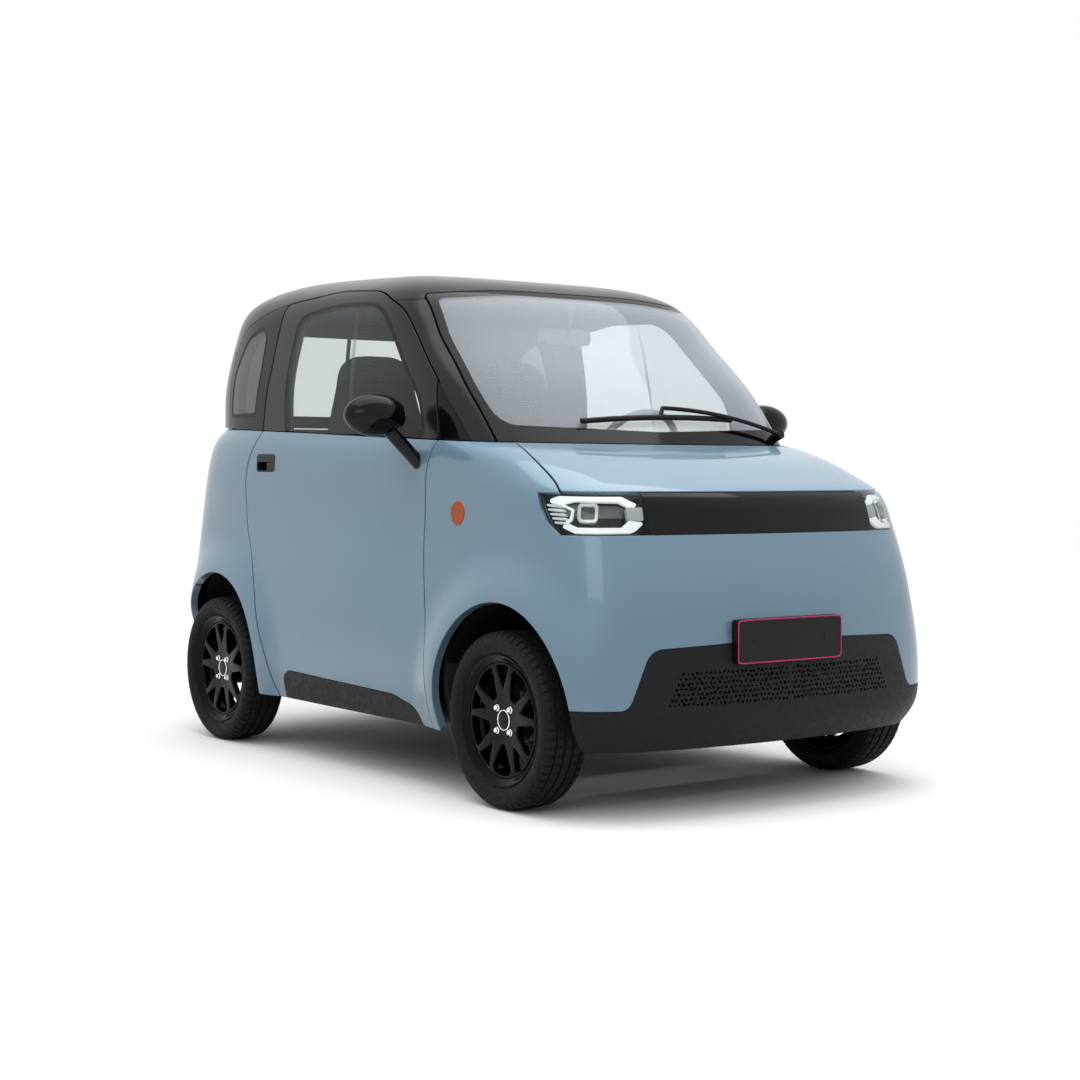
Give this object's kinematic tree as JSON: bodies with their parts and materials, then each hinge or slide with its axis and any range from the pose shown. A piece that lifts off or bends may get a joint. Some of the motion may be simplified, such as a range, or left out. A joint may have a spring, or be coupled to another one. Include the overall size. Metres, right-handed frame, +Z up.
{
  "type": "microcar",
  "caption": "Compact two-seat electric city car with black greenhouse, opening doors, bonnet and tailgate, steering and rolling wheels.",
  "frame": {"origin": "on the ground under the middle of the car's box", "axes": "+X forward, +Y to the car's left, +Z up"},
  "size_m": [2.72, 1.84, 1.6939],
  "materials": {
    "paint_blue": "gloss metallic",
    "black_cladding": "satin grained",
    "gloss_black": "gloss",
    "lamp_clear": "gloss",
    "lamp_red": "gloss",
    "roof_black": "satin",
    "glass_clear": "gloss",
    "glass_dark": "gloss",
    "wiper_black": "satin",
    "chassis_black": "matt",
    "battery_case": "matt",
    "motor_case": "cast",
    "liner_black": "rough",
    "chassis_steel": "matt",
    "knuckle_iron": "cast",
    "dash_plastic": "grained",
    "seat_cloth": "woven",
    "tyre_rubber": "matt",
    "plate_black": "satin",
    "rim_black": "gloss"
  },
  "bodies": {
    "body": {"nose_panel": "paint_blue", "nose_cladding": "black_cladding", "fascia_strip": "gloss_black", "headlamp_left": "lamp_clear", "headlamp_right": "lamp_clear", "windscreen": "glass_clear", "wiper": "wiper_black", "roof": "roof_black", "greenhouse_frame": "roof_black", "quarter_glass": "glass_dark", "quarter_panel_left": "paint_blue", "quarter_panel_right": "paint_blue", "rear_bumper": "paint_blue", "rear_cladding": "black_cladding", "tail_lamps": "lamp_red", "plate_front": "plate_black", "plate_rear": "plate_black", "floor_tub": "chassis_black", "firewall": "chassis_black", "chassis_rails": "chassis_steel", "front_wheelhouses": "liner_black", "rear_wheelhouses": "liner_black", "battery_pack": "battery_case", "drive_motor": "motor_case", "front_suspension": "chassis_steel", "rear_axle": "chassis_steel", "dashboard": "dash_plastic", "seat_left": "seat_cloth", "seat_right": "seat_cloth"},
    "bonnet": {"bonnet": "paint_blue"},
    "tailgate": {"tailgate_panel": "paint_blue", "tailgate_frame": "roof_black", "rear_window": "glass_dark"},
    "door_left": {"door_panel_left": "paint_blue", "door_frame_left": "roof_black", "door_glass_left": "glass_clear", "door_trim_left": "black_cladding", "door_mirror_left": "gloss_black"},
    "door_right": {"door_panel_right": "paint_blue", "door_frame_right": "roof_black", "door_glass_right": "glass_clear", "door_trim_right": "black_cladding", "door_mirror_right": "gloss_black"},
    "steering_wheel": {"steering_wheel": "dash_plastic"},
    "knuckle_left": {"knuckle_left": "knuckle_iron"},
    "knuckle_right": {"knuckle_right": "knuckle_iron"},
    "wheel_front_left": {"tyre_front_left": "tyre_rubber", "rim_front_left": "rim_black"},
    "wheel_front_right": {"tyre_front_right": "tyre_rubber", "rim_front_right": "rim_black"},
    "wheel_rear_left": {"tyre_rear_left": "tyre_rubber", "rim_rear_left": "rim_black"},
    "wheel_rear_right": {"tyre_rear_right": "tyre_rubber", "rim_rear_right": "rim_black"}
  },
  "joints": [
    {"name": "door_left_hinge", "type": "hinge", "parent": "body", "child": "door_left", "pos_m": [0.527, 0.74, 0.6], "axis": [0, 0, -1], "range_deg": [0, 62]},
    {"name": "door_right_hinge", "type": "hinge", "parent": "body", "child": "door_right", "pos_m": [0.527, -0.74, 0.6], "axis": [0, 0, 1], "range_deg": [0, 62]},
    {"name": "bonnet_hinge", "type": "hinge", "parent": "body", "child": "bonnet", "pos_m": [0.808, 0, 1.066], "axis": [0, -1, 0], "range_deg": [0, 60]},
    {"name": "tailgate_hinge", "type": "hinge", "parent": "body", "child": "tailgate", "pos_m": [-1.175, 0, 1.594], "axis": [0, 1, 0], "range_deg": [0, 78]},
    {"name": "steer_left", "type": "hinge", "parent": "body", "child": "knuckle_left", "pos_m": [0.872, 0.565, 0.263], "axis": [0, 0, 1], "range_deg": [-30, 30]},
    {"name": "steer_right", "type": "hinge", "parent": "body", "child": "knuckle_right", "pos_m": [0.872, -0.565, 0.263], "axis": [0, 0, 1], "range_deg": [-30, 30]},
    {"name": "steering_wheel_turn", "type": "hinge", "parent": "body", "child": "steering_wheel", "pos_m": [0.232, 0.3, 1.04], "axis": [-0.8829, 0, 0.4695], "range_deg": [-450, 450]},
    {"name": "spin_front_left", "type": "hinge", "parent": "knuckle_left", "child": "wheel_front_left", "pos_m": [0.872, 0.65, 0.263], "axis": [0, 1, 0], "continuous": true},
    {"name": "spin_front_right", "type": "hinge", "parent": "knuckle_right", "child": "wheel_front_right", "pos_m": [0.872, -0.65, 0.263], "axis": [0, 1, 0], "continuous": true},
    {"name": "spin_rear_left", "type": "hinge", "parent": "body", "child": "wheel_rear_left", "pos_m": [-0.943, 0.65, 0.263], "axis": [0, 1, 0], "continuous": true},
    {"name": "spin_rear_right", "type": "hinge", "parent": "body", "child": "wheel_rear_right", "pos_m": [-0.943, -0.65, 0.263], "axis": [0, 1, 0], "continuous": true}
  ],
  "couplings": [
    {"joint": "steer_right", "follows": "steer_left", "ratio": 1},
    {"joint": "steering_wheel_turn", "follows": "steer_left", "ratio": 15}
  ]
}
